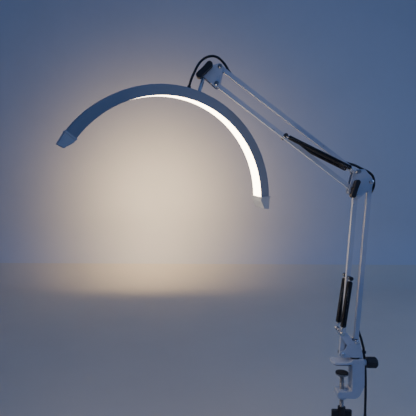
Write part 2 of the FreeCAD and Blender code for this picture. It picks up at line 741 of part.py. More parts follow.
# End caps: a rim proud of the profile, then a body with crisp corners, tapered on its inner side
def endCap(label, side):
    proud = d.capProud
    owner = doc.addObject("PartDesign::Body", label)
    shape = newSketch(owner, "XZ_Plane", label + "Shape")
    low = -d.arcHigh / 2 - proud
    high = d.arcHigh / 2 + proud
    addLoop(shape, [
        (0, low, 0.5), (0, high, 0.5), (side * d.capLong, high - 3, 1.5),
        (side * (d.capLong - 1.5), low + 9.5, 1.5), (side * 11, low, 5),
    ])
    pad(owner, shape, "dim.arcDeep + 2 * dim.capProud", label + "Pad", middle=True)
    soft = soften(label + "Soft", owner, 1.1, lambda edge: (
        abs(abs(edge.CenterOfMass.y) - halfDeep - proud) < 0.01 and abs(edge.CenterOfMass.x) > 0.5))
    plug = block(label + "Plug", (-side * 4 - 4, -halfDeep + d.skin + 0.4, d.arcHigh / 2 - 8.6),
                 (-side * 4 + 4, halfDeep - d.skin - 0.4, d.arcHigh / 2 - d.skin - 0.4))
    over = d.rimProud
    rim = block(label + "Rim", (min(0, side * d.rimLong), -halfDeep - over, -d.arcHigh / 2 - over),
                (max(0, side * d.rimLong), halfDeep + over, d.arcHigh / 2 + over))
    softRim = soften(label + "SoftRim", rim, 1.0, lambda edge: abs(edge.CenterOfMass.x) > 0.5)
    made = fuse(label + "Fused", [soft, plug, softRim])
    angle = side * d.arcHalfAngle
    turn = headTurn.multiply(Rotation(Vector(0, 1, 0), angle))
    at = arcCentre + turn.multVec(Vector(side * 0.05, 0, d.arcRadius))
    made.Placement = Placement(at, turn)
    return made


keep("end_cap_left", endCap("endCapLeft", -1))
keep("end_cap_right", endCap("endCapRight", 1))
glandAt = arcCentre + headTurn.multVec(glandOut * (arcOut + 0.05))
gland = fuse("glandFused", [
    taper("glandCone", 5.2, 4.0, 8, (0, 0, 0)),
    rod("glandPlug", 3.75, 2.6, (0, 0, -2.5)),
])
glandShell = cut("glandCut", gland, [rod("glandBore", "dim.cableRadius + 0.3", 20, (0, 0, -5))])
glandShell.Placement = Placement(glandAt, glandTurn)
keep("cable_gland", glandShell)


# Cables: straight runs joined by tangent arcs
def cable(label, spots, radius="dim.cableRadius"):
    points = [Vector(*spot) for spot in spots]
    edges = []
    start = points[0]
    tightest = 1e9
    for n in range(1, len(points) - 1):
        here = points[n]
        before = points[n - 1] - here
        after = points[n + 1] - here
        shorter = min(before.Length, after.Length)
        before.normalize()
        after.normalize()
        turn = math.pi - before.getAngle(after)
        back = 0.45 * shorter
        bend = back / math.tan(turn / 2)
        tightest = min(tightest, bend)
        middle = before + after
        middle.normalize()
        bow = here + middle * (bend / math.cos(turn / 2) - bend)
        edges.append(Part.LineSegment(start, here + before * back).toShape())
        edges.append(Part.Arc(here + before * back, bow, here + after * back).toShape())
        start = here + after * back
    edges.append(Part.LineSegment(start, points[-1]).toShape())
    path = Part.Wire(edges)
    first = points[1] - points[0]
    section = Part.Wire(Part.Circle(points[0], first, d.cableRadius).toShape())
    tube = path.makePipeShell([section], True, False)
    made = doc.addObject("Part::Feature", label)
    made.Shape = tube
    ratio = tube.Volume / (math.pi * d.cableRadius ** 2 * path.Length)
    print("%s length %.1f tightest bend %.1f volume ratio %.3f" % (label, path.Length, tightest, ratio))
    return made


def onBar(foot, turnDegrees, along, off, y=0.0):
    """A point by its distance along a bar and off its centre line."""
    turn = Rotation(Vector(0, 1, 0), turnDegrees)
    spot = Vector(foot[0], 0, foot[1]) + turn.multVec(Vector(off, 0, along))
    return (spot.x, y, spot.z)


glandTip = glandAt + headTurn.multVec(glandOut * 1.0)
glandNext = glandAt + headTurn.multVec(glandOut * 17.0)
topTurn = d.upperRise - 90
barHole = [
    onBar(elbowHigh, topTurn, d.upperBar - 7, 12.5),
    onBar(elbowHigh, topTurn, d.upperBar - 24, 4.2),
    onBar(elbowHigh, topTurn, d.upperBar - 42, 0.4),
]
headRoute = [
    tuple(glandTip),
    tuple(glandNext),
    (-352.5, -7.5, 692),
    (-343, -4, 712),
    (-329, -1.5, 726.5),
    (-311, 0, 732),
    (-295, 0, 727),
    barHole[0],
    barHole[1],
    barHole[2],
]
keep("cable_head", cable("cableHead", headRoute))
elbowRoute = [
    onBar(elbowHigh, topTurn, 44, 0.4),
    onBar(elbowHigh, topTurn, 28, 4.6),
    onBar(elbowHigh, topTurn, 12, 12.0),
    onBar(elbowHigh, topTurn, -8, 15.0),
    (56, 0, 458),
    (69.3, 0, 447.5),
    (72.2, 0, 431),
    (69.8, 0, 415.5),
    onBar(rearFoot, d.lowerLean, d.lowerBar - 34, 0.4),
]
keep("cable_elbow", cable("cableElbow", elbowRoute))
clipAt = (57.5, 17.3)
footRoute = [
    onBar(rearFoot, d.lowerLean, 38, 0.6),
    onBar(rearFoot, d.lowerLean, 24, 4.0),
    (46, 2.5, 58),
    (51, 8, 42),
    (clipAt[0] - 0.5, clipAt[1] - 1.5, 30),
    (clipAt[0], clipAt[1], 17),
    (60, 17.3, 2),
    (61.6, 17.3, -20),
    (62.6, 17.0, -50),
    (62.8, 16.9, -85),
    (62.2, 17.3, -120),
    (62, 17.3, -147.4),
]
splitAt = 5
keep("cable_foot", cable("cableFoot", footRoute[:splitAt + 1]))
supplyTop = (clipAt[0] + 0.08, clipAt[1], 16.5)
keep("supply_cable", cable("supplyCable", [supplyTop] + footRoute[splitAt + 1:]))
ringAt = (clipAt[0] - 0.1, clipAt[1] - 0.35)
clipRing = fuse("clipFused", [
    rod("clipRing", 5.2, 5, (ringAt[0], ringAt[1], 18)),
    block("clipArm", (43.5, cheekOut + 0.05, 18), (55.5, cheekOut + 2.2, 23)),
    block("clipNeck", (53.0, cheekOut + 0.05, 18), (55.5, ringAt[1], 23)),
])
keep("cable_clip", cut("clipCut", clipRing, [rod("clipBore", 3.65, 9, (ringAt[0], ringAt[1], 16))]))

# Small dimmer on the hanging cable, with three keys
podX, podY = 62.0, 17.3
podTop, podLow = -148.0, -206.0


def podHalf(label, low, high):
    owner = doc.addObject("PartDesign::Body", label + "Shell")
    shape = newSketch(owner, "XZ_Plane", label + "Shape")
    addLoop(shape, [
        (podX - 11, podLow, 6), (podX + 11, podLow, 6), (podX + 11, podTop, 6), (podX - 11, podTop, 6),
    ])
    pad(owner, shape, high - low, label + "Pad")
    owner.Placement = Placement(Vector(0, high, 0), Rotation())
    outer = low if label == "podFront" else high
    soft = soften(label + "Soft", owner, 1.6, lambda edge: (
        edge.BoundBox.YLength < 0.01 and abs(edge.CenterOfMass.y - outer) < 0.01))
    return soft


keyAt = [-163.0, -177.0, -191.0]
frontShell = podHalf("podFront", podY - 6.5, podY - 0.05)
keyHoles = [rod("keyHole%d" % n, 4.55, 5, (podX, podY - 8, z), alongY) for n, z in enumerate(keyAt)]
keep("dimmer_front", cut("podFrontCut", frontShell, keyHoles))
keep("dimmer_back", podHalf("podBack", podY + 0.05, podY + 6.5))
for n, z in enumerate(keyAt):
    stem = rod("keyStem%d" % n, 4.5, 2.4, (podX, podY - 6.2, z), alongY)
    crownKey = taper("keyCrown%d" % n, 3.6, 4.5, 1.2, (podX, podY - 7.4, z), alongY)
    keep("dimmer_key_%d" % (n + 1), fuse("dimmerKey%d" % (n + 1), [stem, crownKey]))

# Stored cable hangs as a tied ring below the dimmer, with its plug beside it
coilRadius, coilThick = 29.2, 8.8
coilZ = podLow - 26 - coilRadius - coilThick
coil = doc.addObject("Part::Torus", "coilRing")
coil.Radius1 = coilRadius
coil.Radius2 = coilThick
place(coil, (podX, podY, coilZ), alongY)
coilLead = rod("coilLead", "dim.cableRadius", 29 - 0.4, (podX, podY, podLow - 29))
keep("cable_coil", fuse("coilFused", [coil, coilLead]))
plugX = podX + coilRadius + coilThick + 5.2
plugCase = soften("plugSoft", block("plugCase", (plugX - 4.5, podY - 8, coilZ - 24), (plugX + 4.5, podY + 8, coilZ + 14)), 2.5,
                  lambda edge: True)
plugTip = block("plugTip", (plugX - 2.25, podY - 6, coilZ - 38), (plugX + 2.25, podY + 6, coilZ - 23))
keep("usb_plug", fuse("plugFused", [plugCase, plugTip]))
tieOuter = block("tieOuter", (podX + coilRadius - 11.4, podY - 11.0, coilZ - 4), (plugX + 6, podY + 11.0, coilZ + 4))
tieInner = block("tieInner", (podX + coilRadius - 10.2, podY - 9.8, coilZ - 6), (plugX + 4.8, podY + 9.8, coilZ + 6))
keep("coil_tie", cut("tieCut", tieOuter, [tieInner]))

doc.recompute()
os.makedirs("parts", exist_ok=True)
for thing in doc.Objects:
    if "Invalid" in thing.State or "Error" in thing.State:
        print("FAULT object", thing.Name, thing.State)
for label, made in nodes.items():
    shape = made.Shape
    faults = [state for state in made.State if state in ("Invalid", "Error")]
    if faults or shape.isNull() or not shape.isValid() or not shape.Solids:
        print("FAULT", label, made.State, len(shape.Solids))
        continue
    print("%-20s solids %d volume %.1f" % (label, len(shape.Solids), shape.Volume))
    shape.exportStep("parts/%s.step" % label)
print("sub-parts", len(nodes))
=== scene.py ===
# Half-moon work light on a balanced swing arm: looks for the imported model.
import json
import math

import bpy
from mathutils import Euler, Matrix, Quaternion, Vector


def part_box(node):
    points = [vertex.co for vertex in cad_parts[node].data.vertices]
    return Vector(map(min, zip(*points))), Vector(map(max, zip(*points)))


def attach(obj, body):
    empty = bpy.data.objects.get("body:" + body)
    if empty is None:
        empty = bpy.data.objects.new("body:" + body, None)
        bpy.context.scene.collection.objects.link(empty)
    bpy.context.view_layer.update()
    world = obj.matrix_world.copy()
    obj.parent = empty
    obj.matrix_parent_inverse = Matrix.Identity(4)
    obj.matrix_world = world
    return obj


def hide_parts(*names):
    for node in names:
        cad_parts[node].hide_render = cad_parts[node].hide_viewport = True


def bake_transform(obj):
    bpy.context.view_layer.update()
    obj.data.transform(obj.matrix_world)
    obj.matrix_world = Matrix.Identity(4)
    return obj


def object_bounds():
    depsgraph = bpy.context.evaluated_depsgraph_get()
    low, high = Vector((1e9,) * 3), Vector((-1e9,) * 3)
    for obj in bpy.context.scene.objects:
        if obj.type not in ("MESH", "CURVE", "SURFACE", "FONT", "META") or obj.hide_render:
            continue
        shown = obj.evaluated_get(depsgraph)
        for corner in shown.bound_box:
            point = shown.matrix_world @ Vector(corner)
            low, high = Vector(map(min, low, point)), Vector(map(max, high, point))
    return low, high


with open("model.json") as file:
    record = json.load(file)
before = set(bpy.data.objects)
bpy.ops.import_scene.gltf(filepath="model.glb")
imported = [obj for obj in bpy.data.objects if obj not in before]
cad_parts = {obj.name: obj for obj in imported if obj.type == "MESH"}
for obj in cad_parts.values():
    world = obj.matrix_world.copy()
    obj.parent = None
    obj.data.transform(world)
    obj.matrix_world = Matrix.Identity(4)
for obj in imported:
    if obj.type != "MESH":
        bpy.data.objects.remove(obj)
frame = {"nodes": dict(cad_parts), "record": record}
packedLow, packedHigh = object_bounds()
nodes = frame["nodes"]
print("frame loaded:", len(nodes), "nodes")

# camera
camera = {
    "place": (-0.29214, -0.98464, 0.39666),
    "turn": (88.49, 0.0, 1.67),  # degrees
    "lens": 35.63,
}
cameraData = bpy.data.cameras.new("viewCamera")
cameraData.lens = camera["lens"]
cameraData.sensor_width = 36
cameraData.clip_start = 0.02
cameraData.clip_end = 30
viewCamera = bpy.data.objects.new("viewCamera", cameraData)
viewCamera.location = camera["place"]
viewCamera.rotation_euler = Euler([math.radians(a) for a in camera["turn"]])
bpy.context.scene.collection.objects.link(viewCamera)
bpy.context.scene.camera = viewCamera


# small tools for building meshes
def mm(*values):
    return Vector(values) * 0.001


def addMesh(name, points, faces, material=None, smooth=True):
    mesh = bpy.data.meshes.new(name)
    mesh.from_pydata([tuple(p) for p in points], [], faces)
    mesh.update()
    mesh.polygons.foreach_set("use_smooth", [smooth] * len(mesh.polygons))
    thing = bpy.data.objects.new(name, mesh)
    bpy.context.scene.collection.objects.link(thing)
    if material:
        mesh.materials.append(material)
    return thing


# points along a smooth curve whose control points are the route
def splineLine(route, fineness=10):
    data = bpy.data.curves.new("routeLine", "CURVE")
    data.dimensions = "3D"
    data.resolution_u = fineness
    spline = data.splines.new("NURBS")
    spline.points.add(len(route) - 1)
    for point, place in zip(spline.points, route):
        point.co = (*place, 1)
    spline.order_u = 3
    spline.use_endpoint_u = True
    holder = bpy.data.objects.new("routeLine", data)
    mesh = bpy.data.meshes.new_from_object(holder)
    line = [v.co.copy() for v in mesh.vertices]
    bpy.data.meshes.remove(mesh)
    bpy.data.objects.remove(holder)
    bpy.data.curves.remove(data)
    return line


def lineLength(line):
    return sum((b - a).length for a, b in zip(line, line[1:]))


# part of a line between two shares of its length
def cutLine(line, start, stop):
    total = lineLength(line)
    low, high = start * total, stop * total
    out, run = [], 0.0
    for a, b in zip(line, line[1:]):
        step = (b - a).length
        if run + step >= low - 1e-9 and not out:
            out.append(a.lerp(b, (low - run) / step))
        if out and run + step < high - 1e-9:
            out.append(b.copy())
        elif out:
            out.append(a.lerp(b, (high - run) / step))
            break
        run += step
    return [p for n, p in enumerate(out) if n == 0 or (p - out[n - 1]).length > 1e-6]


# rings round a line, carried along it without twisting
def tubePoints(line, radius, sides=14, firstUp=None):
    points, faces = [], []
    up = firstUp
    count = len(line)
    for n, here in enumerate(line):
        ahead = line[min(n + 1, count - 1)] - line[max(n - 1, 0)]
        ahead.normalize()
        if up is None:
            up = ahead.orthogonal()
        up = (up - ahead * up.dot(ahead)).normalized()
        side = ahead.cross(up)
        wide = radius[n] if isinstance(radius, list) else radius
        for k in range(sides):
            a = 2 * math.pi * k / sides
            points.append(here + (up * math.cos(a) + side * math.sin(a)) * wide)
    for n in range(count - 1):
        for k in range(sides):
            j = (k + 1) % sides
            faces.append((n * sides + k, n * sides + j, (n + 1) * sides + j, (n + 1) * sides + k))
    faces.append(tuple(reversed(range(sides))))
    faces.append(tuple((count - 1) * sides + k for k in range(sides)))
    return points, faces


def addTube(name, line, radius, material, sides=14, firstUp=None):
    points, faces = tubePoints(line, radius, sides, firstUp)
    return addMesh(name, points, faces, material)


nearlyAcross = Vector((0, 1, 0.01))  # where a cable's ring starts, never along the cable


# several tubes as one mesh; each entry is (line, radius)
def addTubes(name, lines, material, sides=10):
    points, faces = [], []
    for line, radius in lines:
        more, moreFaces = tubePoints(line, radius, sides)
        faces += [tuple(i + len(points) for i in face) for face in moreFaces]
        points += more
    return addMesh(name, points, faces, material)


def circlePoints(centre, across, upward, radius, startDegrees, stopDegrees, steps):
    out = []
    for n in range(steps + 1):
        a = math.radians(startDegrees + (stopDegrees - startDegrees) * n / steps)
        out.append(centre + (across * math.cos(a) + upward * math.sin(a)) * radius)
    return out


# shader node groups
def newGroup(name, inputs, outputs):
    group = bpy.data.node_groups.new(name, "ShaderNodeTree")
    for label, kind, value in inputs:
        socket = group.interface.new_socket(name=label, in_out="INPUT", socket_type="NodeSocket" + kind)
        socket.default_value = value
    for label, kind in outputs:
        group.interface.new_socket(name=label, in_out="OUTPUT", socket_type="NodeSocket" + kind)
    enter = group.nodes.new("NodeGroupInput")
    leave = group.nodes.new("NodeGroupOutput")
    enter.location = (-900, 0)
    leave.location = (700, 0)
    return group, enter, leave


def addNode(tree, kind, place, **settings):
    node = tree.nodes.new("ShaderNode" + kind)
    node.location = place
    for name, value in settings.items():
        setattr(node, name, value)
    return node


# soft patches of dust and handling over a base colour
def buildHandling():
    group, enter, leave = newGroup("handlingDust", [
        ("Base Color", "Color", (0.8, 0.8, 0.8, 1)),
        ("Dust Color", "Color", (0.5, 0.5, 0.5, 1)),
        ("Amount", "Float", 0.2),
        ("Patch Scale", "Float", 30.0),
        ("Roughness", "Float", 0.4),
        ("Roughness Spread", "Float", 0.15),
    ], [("Color", "Color"), ("Roughness", "Float")])
    link = group.links.new
    place = addNode(group, "TexCoord", (-900, 300))
    patch = addNode(group, "TexNoise", (-650, 250))
    patch.inputs["Detail"].default_value = 5
    patch.inputs["Roughness"].default_value = 0.62
    spread = addNode(group, "MapRange", (-400, 250))
    spread.inputs["From Min"].default_value = 0.42
    spread.inputs["From Max"].default_value = 0.72
    weigh = addNode(group, "Math", (-200, 250), operation="MULTIPLY")
    mix = addNode(group, "Mix", (50, 200), data_type="RGBA")
    centred = addNode(group, "Math", (-400, -100), operation="SUBTRACT")
    centred.inputs[1].default_value = 0.5
    rough = addNode(group, "Math", (-150, -100), operation="MULTIPLY_ADD", use_clamp=True)
    link(place.outputs["Object"], patch.inputs["Vector"])
    link(enter.outputs["Patch Scale"], patch.inputs["Scale"])
    link(patch.outputs["Fac"], spread.inputs["Value"])
    link(spread.outputs["Result"], weigh.inputs[0])
    link(enter.outputs["Amount"], weigh.inputs[1])
    link(weigh.outputs[0], mix.inputs[0])
    link(enter.outputs["Base Color"], mix.inputs[6])
    link(enter.outputs["Dust Color"], mix.inputs[7])
    link(mix.outputs[2], leave.inputs["Color"])
    link(patch.outputs["Fac"], centred.inputs[0])
    link(centred.outputs[0], rough.inputs[0])
    link(enter.outputs["Roughness Spread"], rough.inputs[1])
    link(enter.outputs["Roughness"], rough.inputs[2])
    link(rough.outputs[0], leave.inputs["Roughness"])
    return group


# sparse small chips and rubs that show what lies under a finish
def buildChips():
    group, enter, leave = newGroup("chipsAndRubs", [
        ("Color", "Color", (0.8, 0.8, 0.8, 1)),
        ("Under Color", "Color", (0.3, 0.3, 0.3, 1)),
        ("Amount", "Float", 0.5),
        ("Chip Scale", "Float", 240.0),
        ("Threshold", "Float", 0.7),
    ], [("Color", "Color"), ("Mask", "Float")])
    link = group.links.new
    place = addNode(group, "TexCoord", (-900, 300))
    spots = addNode(group, "TexNoise", (-650, 250))
    spots.inputs["Detail"].default_value = 4
    zones = addNode(group, "TexNoise", (-650, 0))
    zones.inputs["Scale"].default_value = 22
    both = addNode(group, "Math", (-400, 150), operation="MULTIPLY_ADD")
    both.inputs[1].default_value = 0.35
    edge = addNode(group, "Math", (-200, 150), operation="GREATER_THAN")
    weigh = addNode(group, "Math", (0, 150), operation="MULTIPLY")
    mix = addNode(group, "Mix", (250, 100), data_type="RGBA")
    link(place.outputs["Object"], spots.inputs["Vector"])
    link(place.outputs["Object"], zones.inputs["Vector"])
    link(enter.outputs["Chip Scale"], spots.inputs["Scale"])
    link(zones.outputs["Fac"], both.inputs[0])
    link(spots.outputs["Fac"], both.inputs[2])
    link(both.outputs[0], edge.inputs[0])
    link(enter.outputs["Threshold"], edge.inputs[1])
    link(edge.outputs[0], weigh.inputs[0])
    link(enter.outputs["Amount"], weigh.inputs[1])
    link(weigh.outputs[0], mix.inputs[0])
    link(enter.outputs["Color"], mix.inputs[6])
    link(enter.outputs["Under Color"], mix.inputs[7])
    link(mix.outputs[2], leave.inputs["Color"])
    link(weigh.outputs[0], leave.inputs["Mask"])
    return group


# fine surface height: sprayed peel, moulded grain or a stretched brush mark
def buildFineGrain():
    group, enter, leave = newGroup("fineGrain", [
        ("Grain Scale", "Float", 900.0),
        ("Stretch", "Vector", (1, 1, 1)),
        ("Cells", "Float", 0.3),
    ], [("Height", "Float")])
    link = group.links.new
    place = addNode(group, "TexCoord", (-900, 300))
    stretch = addNode(group, "VectorMath", (-700, 250), operation="MULTIPLY")
    soft = addNode(group, "TexNoise", (-450, 250))
    soft.inputs["Detail"].default_value = 3
    cells = addNode(group, "TexVoronoi", (-450, 0))
    mix = addNode(group, "Mix", (-150, 150), data_type="FLOAT")
    link(place.outputs["Object"], stretch.inputs[0])
    link(enter.outputs["Stretch"], stretch.inputs[1])
    link(stretch.outputs[0], soft.inputs["Vector"])
    link(stretch.outputs[0], cells.inputs["Vector"])
    link(enter.outputs["Grain Scale"], soft.inputs["Scale"])
    link(enter.outputs["Grain Scale"], cells.inputs["Scale"])
    link(enter.outputs["Cells"], mix.inputs[0])
    link(soft.outputs["Fac"], mix.inputs[2])
    link(cells.outputs["Distance"], mix.inputs[3])
    link(mix.outputs[0], leave.inputs["Height"])
    return group


handlingDust = buildHandling()
chipsAndRubs = buildChips()
fineGrain = buildFineGrain()

# every finish of the lamp: colours, dust, wear and fine height
finishes = {
    "powderWhite": dict(
        base=(0.45, 0.50, 0.60), dust=(0.32, 0.355, 0.41), dustAmount=0.28, patch=24, rough=0.36,
        spread=0.22, under=(0.16, 0.16, 0.17), chip=0.8, chipScale=260, threshold=0.90, grain=1300,
        bump=0.10, depth=0.00012, cells=0.15, coat=0.15,
    ),
    # arc shell: base colour set to a dark grey-blue well below the shell's own pale colour, painted shade for
    # the shadow it sits in
    "shellPaintedShade": dict(
        base=(0.26, 0.285, 0.335), dust=(0.20, 0.22, 0.255), dustAmount=0.25, patch=15, rough=0.42,
        spread=0.16, under=(0.30, 0.30, 0.31), chip=0.35, chipScale=300, threshold=0.93, grain=1700,
        bump=0.08, depth=0.0001, cells=0.1,
    ),
    "capMoulding": dict(
        base=(0.46, 0.48, 0.51), dust=(0.34, 0.35, 0.37), dustAmount=0.3, patch=40, rough=0.46,
        spread=0.15, under=(0.35, 0.35, 0.36), chip=0.3, chipScale=380, threshold=0.93, grain=2200,
        bump=0.12, depth=0.00012, cells=0.5,
    ),
    "blackMoulding": dict(
        base=(0.012, 0.012, 0.014), dust=(0.055, 0.055, 0.06), dustAmount=0.35, patch=60, rough=0.44,
        spread=0.25, under=(0.05, 0.05, 0.05), chip=0.5, chipScale=420, threshold=0.88, grain=2600,
        bump=0.25, depth=0.00018, cells=0.7,
    ),
    "springWire": dict(
        base=(0.027, 0.028, 0.032), dust=(0.07, 0.07, 0.072), dustAmount=0.35, patch=90, rough=0.24,
        spread=0.2, under=(0.22, 0.21, 0.2), chip=0.7, chipScale=520, threshold=0.89, grain=2400,
        bump=0.1, depth=0.00008, cells=0.2, metal=0.75,
    ),
    "brightPlating": dict(
        base=(0.72, 0.73, 0.75), dust=(0.34, 0.33, 0.32), dustAmount=0.3, patch=120, rough=0.16,
        spread=0.18, under=(0.2, 0.17, 0.14), chip=0.3, chipScale=600, threshold=0.93, grain=1500,
        bump=0.06, depth=0.00006, cells=0.1, stretch=(1, 9, 1), metal=1.0,
    ),
    "darkSteel": dict(
        base=(0.33, 0.33, 0.34), dust=(0.14, 0.13, 0.125), dustAmount=0.45, patch=100, rough=0.3,
        spread=0.25, under=(0.12, 0.09, 0.07), chip=0.4, chipScale=500, threshold=0.92, grain=1300,
        bump=0.1, depth=0.00008, cells=0.1, stretch=(1, 7, 1), metal=1.0,
    ),
    "padRubber": dict(
        base=(0.02, 0.02, 0.021), dust=(0.10, 0.10, 0.10), dustAmount=0.35, patch=70, rough=0.72,
        spread=0.15, under=(0.05, 0.05, 0.05), chip=0.3, chipScale=350, threshold=0.9, grain=1500,
        bump=0.3, depth=0.0002, cells=0.6,
    ),
    "cableJacket": dict(
        base=(0.014, 0.014, 0.016), dust=(0.06, 0.06, 0.062), dustAmount=0.3, patch=45, rough=0.42,
        spread=0.2, under=(0.04, 0.04, 0.04), chip=0.3, chipScale=380, threshold=0.9, grain=1900,
        bump=0.12, depth=0.0001, cells=0.3,
    ),
    "boardWhite": dict(
        base=(0.75, 0.75, 0.72), dust=(0.5, 0.5, 0.45), dustAmount=0.2, patch=80, rough=0.4, spread=0.1,
        under=(0.6, 0.5, 0.2), chip=0.4, chipScale=300, threshold=0.9, grain=1200, bump=0.08,
        depth=0.0001, cells=0.2,
    ),
    "plugGold": dict(
        base=(0.75, 0.55, 0.22), dust=(0.4, 0.3, 0.15), dustAmount=0.3, patch=200, rough=0.25,
        spread=0.15, under=(0.4, 0.4, 0.38), chip=0.3, chipScale=900, threshold=0.9, grain=3000,
        bump=0.05, depth=0.00004, cells=0.1, metal=1.0,
    ),
}


def makeFinish(name, look):
    material = bpy.data.materials.new(name)
    material.use_nodes = True
    tree = material.node_tree
    shader = tree.nodes["Principled BSDF"]
    dust = addNode(tree, "Group", (-700, 200), node_tree=handlingDust)
    chips = addNode(tree, "Group", (-350, 250), node_tree=chipsAndRubs)
    grain = addNode(tree, "Group", (-700, -250), node_tree=fineGrain)
    bump = addNode(tree, "Bump", (-300, -250))
    for label, key in (("Base Color", "base"), ("Dust Color", "dust")):
        dust.inputs[label].default_value = (*look[key], 1)
    dust.inputs["Amount"].default_value = look["dustAmount"]
    dust.inputs["Patch Scale"].default_value = look["patch"]
    dust.inputs["Roughness"].default_value = look["rough"]
    dust.inputs["Roughness Spread"].default_value = look["spread"]
    chips.inputs["Under Color"].default_value = (*look["under"], 1)
    chips.inputs["Amount"].default_value = look["chip"]
    chips.inputs["Chip Scale"].default_value = look["chipScale"]
    chips.inputs["Threshold"].default_value = look["threshold"]
    grain.inputs["Grain Scale"].default_value = look["grain"]
    grain.inputs["Stretch"].default_value = look.get("stretch", (1, 1, 1))
    grain.inputs["Cells"].default_value = look["cells"]
    bump.inputs["Strength"].default_value = look["bump"]
    bump.inputs["Distance"].default_value = look["depth"]
    shader.inputs["Metallic"].default_value = look.get("metal", 0.0)
    shader.inputs["Coat Weight"].default_value = look.get("coat", 0.0)
    shader.inputs["Coat Roughness"].default_value = 0.2
    link = tree.links.new
    link(dust.outputs["Color"], chips.inputs["Color"])
    link(chips.outputs["Color"], shader.inputs["Base Color"])
    link(dust.outputs["Roughness"], shader.inputs["Roughness"])
    link(grain.outputs["Height"], bump.inputs["Height"])
    link(bump.outputs["Normal"], shader.inputs["Normal"])
    return material


finish = {name: makeFinish(name, look) for name, look in finishes.items()}

# lit diffuser: milky plastic with a warm glow that varies a little along it
glow = {"color": (1.0, 0.80, 0.56), "edge": (1.0, 0.70, 0.42), "strength": 16.0, "patch": 30}


def makeGlow():
    material = makeFinish("warmDiffuser", dict(finishes["boardWhite"], base=(0.85, 0.83, 0.78), rough=0.5))
    tree = material.node_tree
    shader = tree.nodes["Principled BSDF"]
    tint = addNode(tree, "Group", (-700, 600), node_tree=handlingDust)
    tint.inputs["Base Color"].default_value = (*glow["color"], 1)
    tint.inputs["Dust Color"].default_value = (*glow["edge"], 1)
    tint.inputs["Amount"].default_value = 0.35
    tint.inputs["Patch Scale"].default_value = glow["patch"]
    tree.links.new(tint.outputs["Color"], shader.inputs["Emission Color"])
    shader.inputs["Emission Strength"].default_value = glow["strength"]
    return material


finish["warmDiffuser"] = makeGlow()
print("materials made:", len(finish))

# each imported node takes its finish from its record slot
slotFinish = {
    "white_paint": "powderWhite",
    "arc_housing": "shellPaintedShade",
    "cap_white": "capMoulding",
    "diffuser": "warmDiffuser",
    "led_board": "boardWhite",
    "black_plastic": "blackMoulding",
    "black_spring": "springWire",
    "bright_metal": "brightPlating",
    "steel": "darkSteel",
    "rubber": "padRubber",
    "cable_jacket": "cableJacket",
}
for part in frame["record"]["subparts"]:
    node = nodes[part["node"]]
    chosen = finish[slotFinish[part["material_slot"]]]
    if not node.material_slots:
        node.data.materials.append(chosen)
    for place in node.material_slots:
        place.material = chosen

# pivots and bar directions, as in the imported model
arm = {
    "frontFoot": (-2.0, 24.0),
    "rearFoot": (32.0, 54.0),
    "lowerBar": 380.0,
    "upperBar": 405.0,
    "lowerLean": 4.45,
    "upperRise": 37.8,
    "springReach": (184.0, 202.0),
    "springY": 19.0,
    "studLong": 48.8,
    "arcOut": 279.3,
    "headLean": 16.75,
    "headTurn": 27.3,
    "elbowShift": (-7.7, 13.0),  # from the front bar's top pivot to the elbow's lower pivot
    "linkStep": (8.0, 40.0),  # from a lower pivot of the upper linkage to the one above it
    "tiltShift": (-36.2, -13.0),
}


def alongBar(foot, lean, along, off=0.0, y=0.0):
    a = math.radians(lean)
    x = foot[0] + along * math.sin(a) + off * math.cos(a)
    z = foot[1] + along * math.cos(a) - off * math.sin(a)
    return mm(x, y, z)


def flat(point):
    return point.x * 1000, point.z * 1000


topLean = arm["upperRise"] - 90
frontTop = flat(alongBar(arm["frontFoot"], arm["lowerLean"], arm["lowerBar"]))
elbowLow = (frontTop[0] + arm["elbowShift"][0], frontTop[1] + arm["elbowShift"][1])
elbowHigh = (elbowLow[0] + arm["linkStep"][0], elbowLow[1] + arm["linkStep"][1])
headLow = flat(alongBar(elbowLow, topLean, arm["upperBar"]))
tiltPivot = mm(headLow[0] + arm["linkStep"][0] + arm["tiltShift"][0], 0,
               headLow[1] + arm["linkStep"][1] + arm["tiltShift"][1])
stemTurn = Quaternion((0, 1, 0), math.radians(arm["headLean"]))
headTurn = stemTurn @ Quaternion((0, 0, 1), math.radians(arm["headTurn"]))
arcCentre = tiltPivot + headTurn @ mm(0, 0, -arm["studLong"] - arm["arcOut"])

# cables: one smooth line each, cut where it crosses from body to body
jacket = {"diameter": 0.0058, "sides": 16, "glandLean": -5.6}
glandLean = math.radians(jacket["glandLean"])
glandOut = headTurn @ Vector((math.sin(glandLean), 0, math.cos(glandLean)))
glandAt = arcCentre + glandOut * (arm["arcOut"] + 0.05) * 0.001
headRoute = [
    glandAt + glandOut * 0.001,
    glandAt + glandOut * 0.017,
    mm(-352.5, -7.5, 692),
    mm(-343, -4, 712),
    mm(-329, -1.5, 726.5),
    mm(-311, 0, 732),
    mm(-295, 0, 727),
    alongBar(elbowHigh, topLean, arm["upperBar"] - 7, 12.5),
    alongBar(elbowHigh, topLean, arm["upperBar"] - 24, 4.2),
    alongBar(elbowHigh, topLean, arm["upperBar"] - 42, 0.4),
]
elbowRoute = [
    alongBar(elbowHigh, topLean, 44, 0.4),
    alongBar(elbowHigh, topLean, 28, 4.6),
    alongBar(elbowHigh, topLean, 12, 12.0),
    alongBar(elbowHigh, topLean, -8, 15.0),
    mm(56, 0, 458),
    mm(69.3, 0, 447.5),
    mm(72.2, 0, 431),
    mm(69.8, 0, 415.5),
    alongBar(arm["rearFoot"], arm["lowerLean"], arm["lowerBar"] - 34, 0.4),
]
footRoute = [
    alongBar(arm["rearFoot"], arm["lowerLean"], 38, 0.6),
    alongBar(arm["rearFoot"], arm["lowerLean"], 24, 4.0),
    mm(46, 2.5, 58),
    mm(51, 8, 42),
    mm(57, 15.8, 30),
    mm(57.5, 17.3, 17),
]
